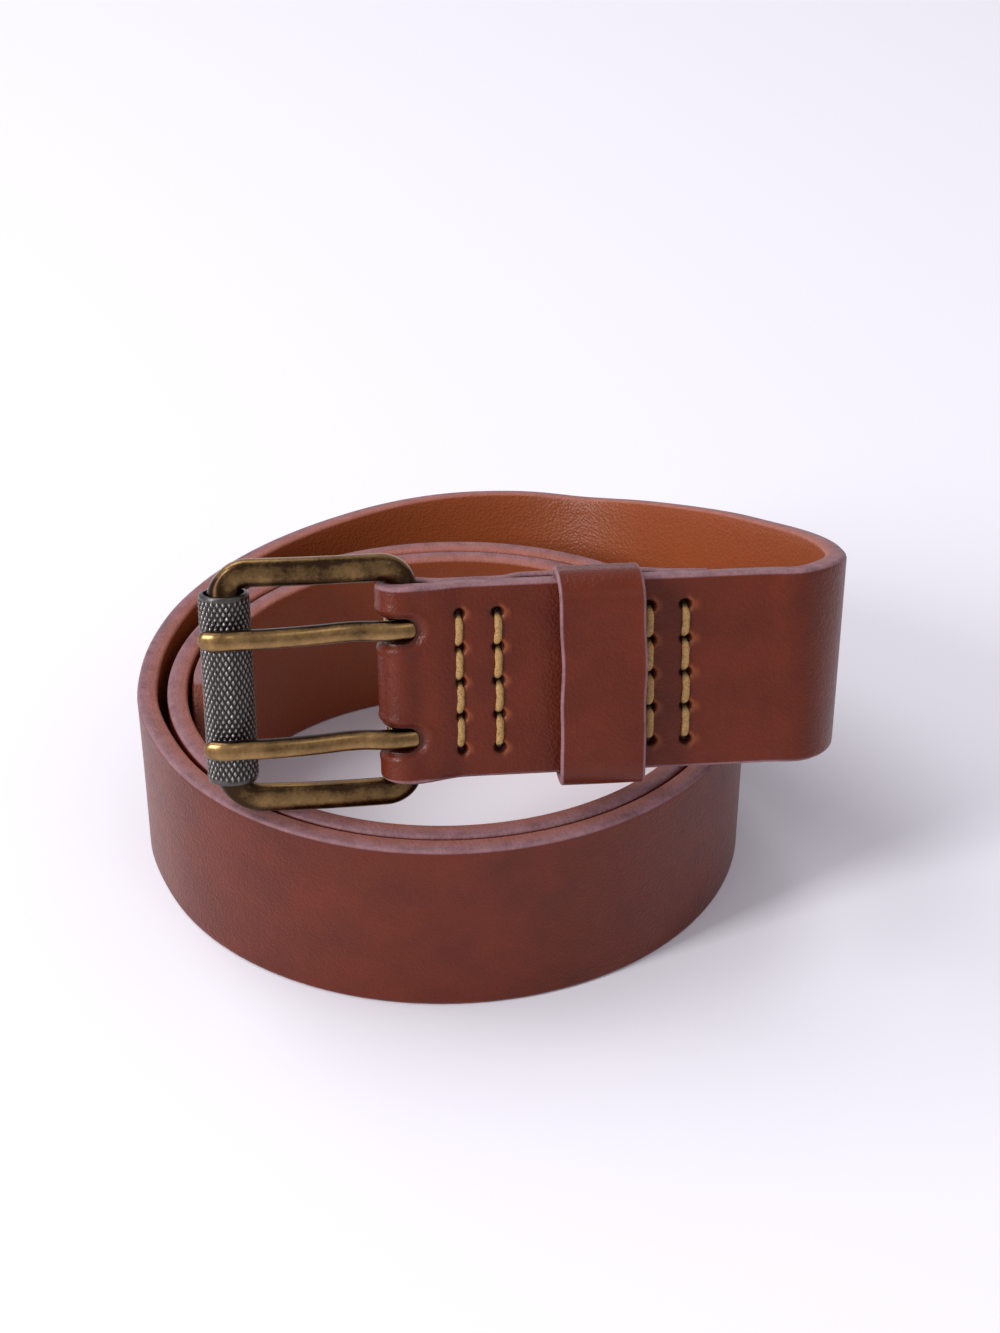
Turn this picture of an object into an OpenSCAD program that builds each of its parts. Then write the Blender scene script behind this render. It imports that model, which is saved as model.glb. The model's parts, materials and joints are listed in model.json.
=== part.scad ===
// Leather belt, rolled up and standing on its edge, with a double-prong roller buckle.
// Millimetres, +Z up. The straight buckle end runs along +X and its outer face looks
// towards -Y. The origin is under the middle of the rolled belt, on the surface it stands on.

/* [Strap] */
// Width of the leather strap
strap_w = 40; // [30:0.5:48]
// Thickness of the leather strap
strap_t = 4.4; // [3:0.1:5]
// Bevel along the burnished edges
edge_bevel = 0.9; // [0.4:0.1:1.2]
// Thickness of the skived leather folded back behind the strap
skived_t = 2.2; // [1.5:0.1:3]
// Length of the folded-back leather beyond the buckle bar
fold_back = 60.5; // [58.5:0.5:64]
// Length of the rounded tip
tip_len = 22; // [14:1:34]

/* [Roll] */
// Half width of the rolled belt, side to side
roll_a = 67.5; // [64:0.5:74]
// Half depth of the rolled belt, front to back
roll_b = 64; // [61:0.5:70]
// Gap between two turns where they lie closest
turn_gap = 0.45; // [0.35:0.05:0.8]
// Extra gap between the inner turns at the left side
loose_gap = 1.1; // [0:0.1:2]
// Angle at which the tip ends, counted round the roll from the right side
tip_angle = 914.5; // [880:0.5:930]

/* [Sewing] */
// Distance between two holes of a row of stitches
stitch_pitch = 7; // [5:0.1:8]
// Number of holes in a row
stitch_holes = 5; // [3:1:6]
// Radius of an awl hole
awl_r = 1; // [0.8:0.05:1.3]
// Radius of the waxed thread
thread_r = 0.6; // [0.4:0.05:0.7]
// Places of the two rows beside the buckle, from the buckle bar
row_near = [10.1, 17.9];
// Places of the two rows beyond the keeper, from the buckle bar
row_far = [48.1, 55.3];

/* [Size holes] */
// Radius of a punched size hole
size_hole_r = 2.4; // [2:0.1:2.8]
// Distance between two pairs of size holes along the strap
size_pitch = 25; // [20:1:27]
// Number of pairs
size_pairs = 7; // [3:1:8]
// Distance from the tip to the first pair
size_start = 105; // [80:1:110]

/* [Buckle] */
// Distance between the bar in the fold and the bar in the roller
bar_span = 35.5; // [33:0.5:40]
// Gap between the strap's edge and each arm
window_gap = 0.4; // [0.3:0.05:1.2]
// Width of an arm, seen from the front
arm_w = 5.6; // [4.5:0.1:6]
// Thickness of an arm, front to back
arm_t = 3.8; // [3:0.1:4.6]
// How far the arms bow towards the front
arm_bow = 1.2; // [0.6:0.1:2.5]
// Corner radius of the frame
corner_r = 6; // [4:0.5:8]
// How far the frame reaches past each bar's axis
frame_past = 3.2; // [3:0.1:4]
// Radius of the bar in the fold
bar_r = 2.5; // [2:0.1:2.8]
// Radius of the bar in the roller
roller_bar_r = 4; // [3:0.1:4.2]
// Outer radius of the roller
roller_r = 5.15; // [5:0.05:6]
// Gap between the roller's ends and the arms
roller_end_gap = 1.1; // [0.5:0.1:2]
// Distance between the two prongs
prong_spacing = 22.4; // [18:0.5:26]
// Width of a prong
prong_w = 4; // [3:0.1:4.6]
// Thickness of a prong, front to back
prong_t = 3.2; // [2.4:0.1:3.6]
// Angle through which a prong's tip bends down round the roller
prong_wrap = 42; // [30:1:55]
// Radial clearance of everything that turns on a bar
bar_clear = 0.06; // [0.02:0.01:0.1]

/* [Keeper] */
// Width of the keeper along the strap
keeper_w = 17; // [12:0.5:20]
// Thickness of the keeper's leather
keeper_t = 1.8; // [1.4:0.1:2.2]
// Room in front of the strap for the belt's free end
keeper_room = 4.6; // [3.4:0.1:5.6]
// Gap between the keeper and the strap's edges and faces
keeper_gap = 0.35; // [0.3:0.05:0.6]
// Wire size of the two staples that close the keeper
staple_wire = 0.8; // [0.6:0.05:0.9]

/* [Hidden] */
$fn = 48;
leather = [0.45, 0.24, 0.16];
brass = [0.55, 0.45, 0.28];

// Clear height between the frame's two arms
window_h = strap_w + 2 * window_gap;

// ---- the strap's route ----
// Lean of the buckle end: its top edge lies further back than its lower edge.
buckle_lean = 17;
// The buckle bar's place, counted from the middle of the roll. The frame's lower arm lies
// on the upper edge of the roll.
bar_at = [-12.4, -40.3, 0.9 + strap_w + (window_h / 2 + arm_w) * cos(buckle_lean)];
// Where the folded strap has closed in front of the bar and is one flat layer
fold_end = 12;
straight_end = 79.7;
// Sideways share of the lean where the strap turns round the right side
side_lean = 0.2;
// The free loop behind the buckle: middle of the strap and lean in degrees. Its heights
// are for a buckle bar 66 mm up and a 40 mm strap.
loop_route = [
    [74, -35.2, 64.5, 18], [76.2, -23, 59.8, 19.5], [75.8, -10.8, 55, 21],
    [73.8, 2.4, 49.5, 22], [70.2, 14.8, 44.5, 22], [65, 27.9, 39.5, 22],
    [57.6, 40.6, 34.5, 22], [48.2, 52.1, 30, 22], [36, 61.8, 26.2, 21],
    [21.6, 68.2, 25, 19], [5.8, 70.3, 24.2, 17], [-9.5, 68.7, 23.3, 14],
    [-24.5, 63.6, 22.4, 11], [-38.3, 56.3, 21.5, 8], [-50, 46.6, 20.8, 5],
    [-59.2, 34.4, 20.3, 2], [-64.5, 21.6, 20, 0], [-67, 8.2, 20, 0], [-67, -5.6, 20, 0]];
roll_from = 197;
roll_step = 12;
rings_per_step = 3;

// ---- sizes that fit to each other ----
eye_r = bar_r + bar_clear;
slot_w = prong_w + 1.2;
prong_eye_r = bar_r + 2;
// The prong's shoulder over its eye turns inside a pocket in the fold.
shoulder_r = prong_eye_r + 1.1;
// The slot's round end lies this far beyond the bar, at the front and at the back.
slot_past = 1;
roller_len = window_h - 2 * roller_end_gap;
prong_z = prong_spacing / 2;
keeper_in_h = strap_w + 2 * keeper_gap;
// Room between the two layers for the keeper's back wall, and their gap where they are sewn
layer_gap = keeper_t + 2 * keeper_gap;
sewn_gap = 0.1;
keeper_x = row_far[0] - awl_r - 0.4 - keeper_w;
// The skived leather leaves the strap past the near rows and returns to it at the far rows.
leave_x = row_near[1] + awl_r + 0.4;
return_x = row_far[0] - 1.6;
leave_len = 4;
return_len = 6.8;
keeper_travel = keeper_x - leave_x - leave_len - 0.3;
sewn_y = sewn_gap + skived_t / 2;
apart_y = layer_gap + skived_t / 2;
// Middle of the skived layer behind the strap, in the buckle end's own frame
function under_y(x) = lookup(x, [[leave_x, sewn_y], [leave_x + leave_len, apart_y],
                                 [return_x, apart_y], [return_x + return_len, sewn_y]]);
function ease(u) = let (v = min(1, max(0, u))) v * v * (3 - 2 * v);
// The strap is bored round the bar, so the folded leather starts a little inside the bore.
fold_in_r = bar_r - 0.2;
fold_mid_r = fold_in_r + strap_t / 2;
// Stations of the folded end as [x, y, thickness] in the buckle end's own frame: along
// the skived layer to the bar, round it while the leather grows to full thickness, and
// out along the front.
fold_route = concat(
    [for (x = [fold_back, return_x + return_len, return_x, leave_x + leave_len, leave_x, 7])
        [x, under_y(x), skived_t]],
    [[4, fold_in_r + 0.4, skived_t]],
    [for (a = [80 : 12 : 272]) let (t = skived_t + (strap_t - skived_t) * ease((a - 80) / 180))
        [cos(a) * (fold_in_r + t / 2), sin(a) * (fold_in_r + t / 2), t]],
    [for (u = [0.25 : 0.25 : 1])
        [fold_end * u, -fold_mid_r + (fold_mid_r - strap_t / 2) * ease(u * 1.02), strap_t]]);

// A point of the roll's outermost outline: an ellipse, a little fuller at the left.
function outline(a) =
    let (r = pow(pow(cos(a) / roll_a, 2) + pow(sin(a) / roll_b, 2), -0.5)
             * (1 - 0.022 * sin(a) - 0.016 * cos(a)))
    [r * cos(a), r * sin(a)];
function unit(v) = v / norm(v);
// The outline's normal, towards the middle of the roll
function inward(a) = let (d = unit(outline(a + 0.1) - outline(a - 0.1))) [-d.y, d.x];
// Slack of the inner turns, widest at the left side
function slack(a) =
    let (off = abs(((a % 360) + 360) % 360 - 180))
    loose_gap * exp(-pow(off / 40, 2)) * 0.5 * min(2, max(0, (a - 360) / 150));
// Depth of the strap's middle inside the outline: one strap and one gap for each turn
function depth(a) = (a - 180) / 360 * (strap_t + turn_gap) + strap_t / 2 + slack(a);
function roll_point(a) =
    let (p = outline(a) + inward(a) * depth(a)) [p.x, p.y, strap_w / 2, 0, 0, strap_t];

// The loop's heights follow the strap's width at its low end and the bar at its high end.
function loop_z(z) = strap_w / 2 + (z - 20) * (bar_at.z - strap_w / 2) / 46;
// A point of the buckle end's own frame, as a station of the route
function buckle_point(x, y, t) =
    let (p = bar_at + [x, y * cos(buckle_lean), -y * sin(buckle_lean)])
    [p.x, p.y, p.z, 0, tan(buckle_lean), t];

// The route of the strap from where it leaves the sewn end to its tip: the middle of the
// strap, the lean of its upward direction, and its thickness
route = concat(
    [for (x = [straight_end - 15, straight_end - 7.5, straight_end])
        buckle_point(x, -strap_t / 2, strap_t)],
    [for (p = loop_route)
        [p.x, p.y, loop_z(p.z), side_lean * tan(p[3]), tan(p[3]), strap_t]],
    [for (a = [roll_from : roll_step : tip_angle - 0.4 * roll_step]) roll_point(a)],
    [roll_point(tip_angle)]);

// Smooth curve through the route's points (Catmull-Rom), rings_per_step rings each
last = len(route) - 1;
function at(i) = route[min(last, max(0, i))];
function curve(i, t) =
    let (p0 = i == 0 ? 2 * at(0) - at(1) : at(i - 1), p1 = at(i), p2 = at(i + 1),
         p3 = i == last - 1 ? 2 * at(last) - at(last - 1) : at(i + 2))
    0.5 * (2 * p1 + (p2 - p0) * t + (2 * p0 - 5 * p1 + 4 * p2 - p3) * t * t
           + (3 * p1 - p0 - 3 * p2 + p3) * t * t * t);
spine = concat(
    [for (p = fold_route) buckle_point(p[0], p[1], p[2])],
    [for (i = [0 : last - 1]) for (j = [0 : rings_per_step - 1]) curve(i, j / rings_per_step)],
    [at(last)]);
n_ring = len(spine);
function pos(i) = let (p = spine[i]) [p.x, p.y, p.z];
function along(i) = unit(pos(min(n_ring - 1, i + 1)) - pos(max(0, i - 1)));
// Outward normal and upward direction of the strap at a ring
function out_dir(i) = unit(cross(along(i), [spine[i][3], spine[i][4], 1]));
function up_dir(i) = cross(out_dir(i), along(i));

// Length along the strap from its first ring, as [ring, length] pairs
function walk(i, s, acc) =
    i == n_ring ? acc
    : let (s1 = i == 0 ? 0 : s + norm(pos(i) - pos(i - 1)))
      walk(i + 1, s1, concat(acc, [[i, s1]]));
lengths = walk(0, 0, []);
strap_len = lengths[n_ring - 1][1];
ring_at = [for (p = lengths) [p[1], p[0]]];

// Half width of the strap: full, then a round tip
function half_w(s) =
    let (u = max(0, s - (strap_len - tip_len)) / tip_len)
    max(edge_bevel * 1.5, strap_w / 2 * sqrt(max(0, 1 - pow(u, 2.4))));

// Bevelled cross-section of half height h and half thickness t as [outward, up] pairs
function section(h, t) =
    let (b = min(edge_bevel, t * 0.6))
    [[t, h - b], [t - b, h], [b - t, h], [-t, h - b],
     [-t, b - h], [b - t, -h], [t - b, -h], [t, b - h]];
ring_n = 8;
strap_pts = [for (i = [0 : n_ring - 1])
    let (o = out_dir(i), u = up_dir(i), c = pos(i), h = half_w(lengths[i][1]))
    for (q = section(h, spine[i][5] / 2)) c + o * q[0] + u * q[1]];
strap_faces = concat(
    [[for (k = [0 : ring_n - 1]) k]],
    [for (i = [0 : n_ring - 2]) for (k = [0 : ring_n - 1])
        let (k2 = (k + 1) % ring_n, a = i * ring_n, b = a + ring_n) [a + k2, a + k, b + k, b + k2]],
    [[for (k = [ring_n - 1 : -1 : 0]) (n_ring - 1) * ring_n + k]]);

// The whole belt is moved so that the origin lies under the middle of its own box.
shift = [for (k = [0, 1])
    let (v = [for (p = strap_pts) p[k]]) -(min(v) + max(v)) / 2];
module in_place() {
    translate([shift[0], shift[1], 0]) children();
}
// The buckle end's own frame: x along the strap, y to the back, z up the strap, bar at 0
module buckle_place() {
    in_place() translate(bar_at) rotate([-buckle_lean, 0, 0]) children();
}

module slab(x0, x1, y0, y1, z0, z1) {
    translate([x0, y0, z0]) cube([x1 - x0, y1 - y0, z1 - z0]);
}
// A round rod from one point to the next
module rod(a, b, r) {
    v = b - a;
    translate(a)
        rotate([0, acos(v.z / norm(v)), atan2(v.y, v.x)])
            cylinder(r = r, h = norm(v), $fn = 16);
}

// Slot for a prong, right round the fold, with room inside for the prong's eye
module prong_slot(z) {
    reach = eye_r + strap_t + 1;
    translate([0, 0, z]) {
        slab(-reach, slot_past, -reach, reach, -slot_w / 2, slot_w / 2);
        translate([slot_past, reach, 0]) rotate([90, 0, 0]) cylinder(r = slot_w / 2, h = 2 * reach);
        translate([0, 0, -slot_w / 2]) cylinder(r = shoulder_r + 0.35, h = slot_w);
    }
}

function stitch_z(k) = (k - (stitch_holes - 1) / 2) * stitch_pitch;
module awl_holes(x) {
    for (k = [0 : stitch_holes - 1])
        translate([x, layer_gap + skived_t + 1, stitch_z(k)])
            rotate([90, 0, 0]) cylinder(r = awl_r, h = layer_gap + skived_t + strap_t + 2, $fn = 24);
}

// A pair of size holes at a length s from the strap's first ring
module size_holes(s) {
    i = floor(lookup(s, ring_at));
    middle = pos(i) * 0.56 + pos(i + 1) * 0.44;
    out = out_dir(i) * (strap_t / 2 + turn_gap / 2);
    for (z = [-prong_z, prong_z])
        rod(middle + up_dir(i) * z - out, middle + up_dir(i) * z + out, size_hole_r);
}

module strap() {
    color(leather) in_place() difference() {
        polyhedron(points = strap_pts, faces = strap_faces, convexity = 8);
        for (k = [0 : size_pairs - 1]) size_holes(strap_len - size_start - k * size_pitch);
        translate(bar_at) rotate([-buckle_lean, 0, 0]) {
            translate([0, 0, -strap_w / 2 - 1]) cylinder(r = eye_r, h = strap_w + 2);
            prong_slot(prong_z);
            prong_slot(-prong_z);
            for (x = concat(row_near, row_far)) awl_holes(x);
        }
    }
}

// ---- buckle ----
bow_r = (bar_span * bar_span / 4 + arm_bow * arm_bow) / (2 * arm_bow);
module arm() {
    z0 = window_h / 2;
    x0 = -bar_span - frame_past;
    intersection() {
        rotate([90, 0, 0]) translate([0, 0, -20]) linear_extrude(40) difference() {
            union() {
                translate([x0 + corner_r, z0]) square([bar_span + 2 * frame_past - 2 * corner_r, arm_w]);
                for (x = [x0 + corner_r, frame_past - corner_r])
                    translate([x, z0 + arm_w - corner_r]) circle(r = corner_r);
            }
            translate([x0 - 1, z0 - 20]) square([bar_span + 2 * frame_past + 2, 20]);
        }
        translate([-bar_span / 2, bow_r - arm_bow, z0 - 1]) difference() {
            cylinder(r = bow_r + arm_t / 2, h = arm_w + 2, $fn = 96);
            translate([0, 0, -1]) cylinder(r = bow_r - arm_t / 2, h = arm_w + 4, $fn = 96);
        }
    }
}

module buckle_frame() {
    reach = window_h / 2 + arm_w * 0.6;
    color(brass) buckle_place() {
        arm();
        mirror([0, 0, 1]) arm();
        translate([0, 0, -reach]) cylinder(r = bar_r, h = 2 * reach);
        translate([-bar_span, 0, -window_h / 2 - 0.5]) cylinder(r = roller_bar_r, h = window_h + 1);
    }
}

module roller() {
    color([0.3, 0.29, 0.28]) buckle_place()
        translate([-bar_span, 0, -roller_len / 2]) difference() {
            cylinder(r = roller_r, h = roller_len);
            translate([0, 0, -1]) cylinder(r = roller_bar_r + bar_clear, h = roller_len + 2);
        }
}

// Middle line of a prong from its eye to its tip, in the x-y plane
prong_rest_r = roller_r + prong_t / 2 + 0.15;
prong_line = concat(
    [[0, prong_t / 2 - shoulder_r + 0.1], [-2.6, prong_t / 2 - shoulder_r], [-6.4, -3.7],
     [-10, -3.9], [-16, -4.9], [-22, -5.8], [-28, -6.6]],
    [for (a = [-22, 0, 16, prong_wrap - 14, prong_wrap])
        [-bar_span - sin(a) * prong_rest_r, -cos(a) * prong_rest_r]]);
// Half thickness of the prong beside that line, a little thinner at the tip
function prong_half(i) = prong_t / 2 * (i > 10 ? 0.72 : i > 9 ? 0.86 : 0.95);
function side(i, s) =
    let (a = prong_line[max(0, i - 1)], b = prong_line[min(len(prong_line) - 1, i + 1)],
         d = unit(b - a))
    prong_line[i] + s * prong_half(i) * [d.y, -d.x];

module prong(z) {
    n = len(prong_line) - 1;
    tip = prong_line[n];
    color(brass) buckle_place() translate([0, 0, z - prong_w / 2]) difference() {
        union() {
            cylinder(r = prong_eye_r, h = prong_w);
            linear_extrude(prong_w)
                polygon(concat([for (i = [0 : n]) side(i, 1)], [for (i = [n : -1 : 0]) side(i, -1)]));
            translate([tip.x, tip.y, 0]) cylinder(r = prong_half(n), h = prong_w);
        }
        translate([0, 0, -1]) cylinder(r = eye_r, h = prong_w + 2);
    }
}
module prong_upper() {
    prong(prong_z);
}
module prong_lower() {
    prong(-prong_z);
}

// ---- keeper ----
keeper_y0 = -strap_t - keeper_room;
keeper_y1 = keeper_gap;
staple_z = 4;
// Outline of the keeper's loop, with rounded corners
module loop_2d(grow, r) {
    x0 = keeper_y0 - grow;
    x1 = keeper_y1 + grow;
    z = keeper_in_h / 2 + grow;
    for (x = [x0 + r, x1 - r]) for (s = [-1, 1]) translate([x, s * (z - r)]) circle(r = r);
    translate([x0 + r, -z]) square([x1 - x0 - 2 * r, 2 * z]);
    translate([x0, r - z]) square([x1 - x0, 2 * z - 2 * r]);
}
module keeper() {
    color(leather) buckle_place() difference() {
        translate([keeper_x, 0, 0]) rotate([90, 0, 90]) linear_extrude(keeper_w) difference() {
            loop_2d(keeper_t, 2.6);
            loop_2d(0, 0.8);
        }
        // the butt joint in the back wall
        slab(keeper_x - 1, keeper_x + keeper_w + 1, keeper_y1 - 0.2, keeper_y1 + keeper_t + 0.2, -0.1, 0.1);
        staple_wires();
    }
}
// Each staple lies flush in the back wall, across the joint, with its two legs turned in.
module staple_wires() {
    w = staple_wire;
    y1 = keeper_y1 + keeper_t;
    for (x = [keeper_x + keeper_w * 0.28, keeper_x + keeper_w * 0.72]) {
        slab(x - w / 2, x + w / 2, y1 - w, y1, -staple_z, staple_z);
        for (s = [-1, 1])
            slab(x - w / 2, x + w / 2, keeper_y1 + 0.3, y1, s * staple_z - w / 2, s * staple_z + w / 2);
    }
}
module keeper_staples() {
    color("silver") buckle_place() staple_wires();
}

// ---- stitches ----
// A waxed thread through the five holes of a row: four runs on the front, and the second
// needle's runs on the back.
thread_sink = 0.15;
module stitch_row(x) {
    y_front = -strap_t - thread_r + thread_sink;
    y_back = under_y(x) + skived_t / 2 + thread_r - thread_sink;
    color([0.68, 0.52, 0.33]) buckle_place() {
        for (k = [0 : stitch_holes - 1])
            rod([x, y_front, stitch_z(k)], [x, y_back, stitch_z(k)], thread_r);
        for (k = [0 : stitch_holes - 2]) for (y = [y_front, y_back])
            rod([x, y, stitch_z(k)], [x, y, stitch_z(k + 1)], thread_r);
    }
}
module stitch_row_1() {
    stitch_row(row_near[0]);
}
module stitch_row_2() {
    stitch_row(row_near[1]);
}
module stitch_row_3() {
    stitch_row(row_far[0]);
}
module stitch_row_4() {
    stitch_row(row_far[1]);
}

strap();
buckle_frame();
roller();
prong_upper();
prong_lower();
keeper();
keeper_staples();
stitch_row_1();
stitch_row_2();
stitch_row_3();
stitch_row_4();
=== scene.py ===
"""Rolled leather belt with a two-prong roller buckle, standing on a pale floor.

Sizes in the formulas below are millimetres in the belt's own frame; meshes are metres.
"""

import json
import math

import bpy
import numpy as np
from mathutils import Matrix


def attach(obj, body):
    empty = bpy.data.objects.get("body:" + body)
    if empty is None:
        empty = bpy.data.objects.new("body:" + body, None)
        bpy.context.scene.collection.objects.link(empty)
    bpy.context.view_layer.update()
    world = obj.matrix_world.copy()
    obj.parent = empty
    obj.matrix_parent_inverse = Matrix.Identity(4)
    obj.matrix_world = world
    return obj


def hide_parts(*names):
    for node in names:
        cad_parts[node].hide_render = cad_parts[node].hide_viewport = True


bl_info = {
    "name": "Rolled leather belt",
    "version": (1, 0, 0),
    "blender": (4, 5, 0),
    "location": "View3D > Sidebar > Belt",
    "description": "Leather strap, buckle, roller, prongs, keeper and stitches of a belt",
    "category": "Object",
}

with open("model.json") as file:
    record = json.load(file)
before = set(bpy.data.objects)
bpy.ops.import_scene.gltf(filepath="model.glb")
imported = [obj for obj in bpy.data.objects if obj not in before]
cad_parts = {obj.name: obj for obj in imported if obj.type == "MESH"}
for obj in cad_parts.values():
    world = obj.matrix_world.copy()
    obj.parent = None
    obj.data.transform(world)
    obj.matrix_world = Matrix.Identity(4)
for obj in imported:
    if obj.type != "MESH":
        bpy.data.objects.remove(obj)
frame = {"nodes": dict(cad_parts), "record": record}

MM = 0.001
JOINTS = {j["name"]: j for j in frame["record"]["behaviour"]["joints"]}


def joint_place(name):
    """A joint's place in millimetres."""
    return np.array(JOINTS[name]["pos_m"], float) / MM


BAR = joint_place("buckle_swing")
UP = np.array(JOINTS["buckle_swing"]["axis"], float)
BACK = np.array([0.0, UP[2], -UP[1]])
ALONG = np.array([1.0, 0.0, 0.0])
BAR_SPAN = float(BAR[0] - joint_place("roller_spin")[0])
PRONG_Z = float(np.linalg.norm(joint_place("upper_prong_swing") - BAR))
# The buckle bar's place before the belt was centred on its own box
BAR_X, BAR_Y = -12.4, -40.3

LOOP = np.array([
    [74, -35.2, 64.5, 18], [76.2, -23, 59.8, 19.5], [75.8, -10.8, 55, 21],
    [73.8, 2.4, 49.5, 22], [70.2, 14.8, 44.5, 22], [65, 27.9, 39.5, 22],
    [57.6, 40.6, 34.5, 22], [48.2, 52.1, 30, 22], [36, 61.8, 26.2, 21],
    [21.6, 68.2, 25, 19], [5.8, 70.3, 24.2, 17], [-9.5, 68.7, 23.3, 14],
    [-24.5, 63.6, 22.4, 11], [-38.3, 56.3, 21.5, 8], [-50, 46.6, 20.8, 5],
    [-59.2, 34.4, 20.3, 2], [-64.5, 21.6, 20, 0], [-67, 8.2, 20, 0], [-67, -5.6, 20, 0]])
LOOP_HEAD = 46.0
SIDE_LEAN = 0.2
ROLL_A, ROLL_B = 67.5, 64.0
TURN_GAP, LOOSE_GAP = 0.45, 1.1
ROLL_FROM, ROLL_STEP, TIP_ANGLE = 197.0, 12.0, 914.5
STRAIGHT_END, FOLD_END = 79.7, 12.0
FOLD_IN_R = 2.3
BAR_ROOM = 0.3
SKIVED_T = 2.2
FOLD_BACK = 60.5
ROW_NEAR = (10.1, 17.9)
ROW_FAR = (48.1, 55.3)
HOLES = 5
HOLE_PITCH = 7.0
HOLE_R = 1.0
KEEPER_X, KEEPER_W, KEEPER_T = 29.7, 17.0, 1.8
KEEPER_ROOM, KEEPER_GAP = 4.6, 0.35
LAYER_GAP = KEEPER_T + 2 * KEEPER_GAP
SEWN_GAP = 0.1
SLOT_END = 1.9
SLOT_HALF = 2.6
UNDER_STEPS, ARC_STEPS, FRONT_STEPS, FLAT_STEPS = 70, 61, 30, 50
TIP_LEN, TIP_POWER = 22.0, 2.4
BACK_COLUMNS = 16
KNURL_ANGLE = np.radians(32)
SIZE_START, SIZE_PITCH, SIZE_PAIRS, SIZE_HOLE_R = 105.0, 25.0, 7, 2.4
BAR_R, ROLLER_BAR_R, ROLLER_R, ROLLER_LEN = 2.5, 4.0, 5.15, 38.6
WINDOW_HALF, ARM_W, ARM_T, ARM_BOW = 20.4, 5.6, 3.8, 1.2
PRONG_W, PRONG_T, PRONG_WRAP = 4.0, 3.2, 42.0


def linear(code):
    """An sRGB hex colour as linear red, green, blue, alpha."""
    srgb = [int(code[i:i + 2], 16) / 255 for i in (0, 2, 4)]
    return tuple(c / 12.92 if c <= 0.04045 else ((c + 0.055) / 1.055) ** 2.4 for c in srgb) + (1.0,)


class BeltSizes(bpy.types.PropertyGroup):
    """Sizes that a user would change."""

    strap_width: bpy.props.FloatProperty(
        name="Strap width", description="Width of the strap", default=0.040, unit="LENGTH")
    strap_thickness: bpy.props.FloatProperty(
        name="Strap thickness", description="Thickness of the strap", default=0.0044, unit="LENGTH")
    edge_round: bpy.props.FloatProperty(
        name="Edge rounding", description="Radius of the burnished edges",
        default=0.0009, unit="LENGTH")
    thread_width: bpy.props.FloatProperty(
        name="Thread width", description="Width of a stitch", default=0.00145, unit="LENGTH")
    knurl_pitch: bpy.props.FloatProperty(
        name="Knurl pitch", description="Distance between two ridges of the knurl",
        default=0.00105, unit="LENGTH")
    knurl_depth: bpy.props.FloatProperty(
        name="Knurl depth", description="Depth of the knurl's grooves",
        default=0.00034, unit="LENGTH")


class BeltColours(bpy.types.PropertyGroup):
    """Colours that a user would change."""

    leather: bpy.props.FloatVectorProperty(
        name="Leather", description="Grain side of the strap", size=4, subtype="COLOR",
        default=linear("60220E"), min=0, max=1)
    edge: bpy.props.FloatVectorProperty(
        name="Edge", description="Burnished edges", size=4, subtype="COLOR",
        default=linear("866166"), min=0, max=1)
    brass: bpy.props.FloatVectorProperty(
        name="Brass", description="Worn brass of the buckle", size=4, subtype="COLOR",
        default=linear("AB8757"), min=0, max=1)
    patina: bpy.props.FloatVectorProperty(
        name="Patina", description="Dark patina on the brass", size=4, subtype="COLOR",
        default=linear("3C2B1D"), min=0, max=1)
    steel: bpy.props.FloatVectorProperty(
        name="Roller", description="Blackened steel of the roller", size=4, subtype="COLOR",
        default=linear("55514F"), min=0, max=1)
    thread: bpy.props.FloatVectorProperty(
        name="Thread", description="Waxed thread", size=4, subtype="COLOR",
        default=linear("A8834F"), min=0, max=1)
    floor: bpy.props.FloatVectorProperty(
        name="Floor", description="Pale floor", size=4, subtype="COLOR",
        default=linear("EDEBF2"), min=0, max=1)


# ---------------------------------------------------------------- formulas

def unit(v):
    """Vectors scaled to length one."""
    return v / np.linalg.norm(v, axis=-1, keepdims=True)


def ease(u):
    """Smooth step: 3u^2 - 2u^3 between 0 and 1."""
    v = np.clip(u, 0, 1)
    return v * v * (3 - 2 * v)


def in_buckle(x, y, z):
    """Points of the buckle end's own frame: bar + x along + y to the back + z up the strap."""
    x, y, z = np.broadcast_arrays(x, y, z)
    return BAR + x[..., None] * ALONG + y[..., None] * BACK + z[..., None] * UP


def under_y(x):
    """Middle of the folded-back layer behind the strap: near it where sewn, away in between."""
    leave = ROW_NEAR[1] + HOLE_R + 0.4
    back = ROW_FAR[0] - 1.6
    sewn, apart = SEWN_GAP + SKIVED_T / 2, LAYER_GAP + SKIVED_T / 2
    rise = ease((x - leave) / 4.0) - ease((x - back) / 6.8)
    return sewn + (apart - sewn) * rise


def outline(deg):
    """Roll's outer outline: an ellipse's radius times (1 - 0.022 sin a - 0.016 cos a)."""
    a = np.radians(deg)
    r = ((np.cos(a) / ROLL_A) ** 2 + (np.sin(a) / ROLL_B) ** 2) ** -0.5
    r = r * (1 - 0.022 * np.sin(a) - 0.016 * np.cos(a))
    return np.stack([r * np.cos(a), r * np.sin(a)], -1)


def roll_points(deg, width, thick):
    """Outline moved inwards by one strap and one gap for each turn, plus a slack at the left."""
    d = unit(outline(deg + 0.1) - outline(deg - 0.1))
    inward = np.stack([-d[:, 1], d[:, 0]], -1)
    off = np.abs(((deg % 360) + 360) % 360 - 180)
    slack = LOOSE_GAP * np.exp(-(off / 40) ** 2) * 0.5 * np.clip((deg - 360) / 150, 0, 2)
    depth = (deg - 180) / 360 * (thick + TURN_GAP) + thick / 2 + slack
    p = outline(deg) + inward * depth[:, None]
    zero = np.zeros(len(deg))
    return np.column_stack([p, zero + width / 2, zero, zero, zero + thick])


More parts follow.
